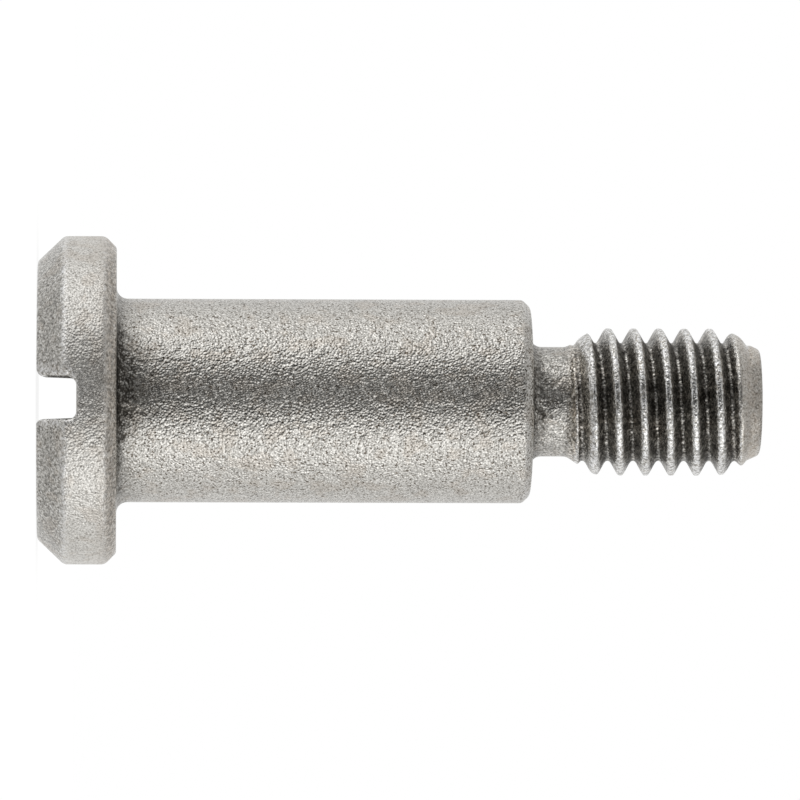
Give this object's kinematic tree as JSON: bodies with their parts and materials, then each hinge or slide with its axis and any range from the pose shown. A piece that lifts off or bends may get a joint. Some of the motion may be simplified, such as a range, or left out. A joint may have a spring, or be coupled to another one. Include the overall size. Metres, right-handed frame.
{
  "type": "shoulder bolt",
  "caption": "Slotted shoulder bolt: flat bevelled head, plain cylindrical bearing shoulder and a smaller threaded stud with a relief neck.",
  "frame": {"origin": "centre of the slotted face, on the bolt's axis", "axes": "+Z along the bolt's axis, from the slotted head to the thread tip; the driver slot runs along Y"},
  "size_m": [0.013, 0.013, 0.0284],
  "materials": {
    "satin_steel": "fine grained satin, as turned and tumbled"
  },
  "bodies": {
    "root": {"shoulder_bolt": "satin_steel"}
  },
  "joints": []
}
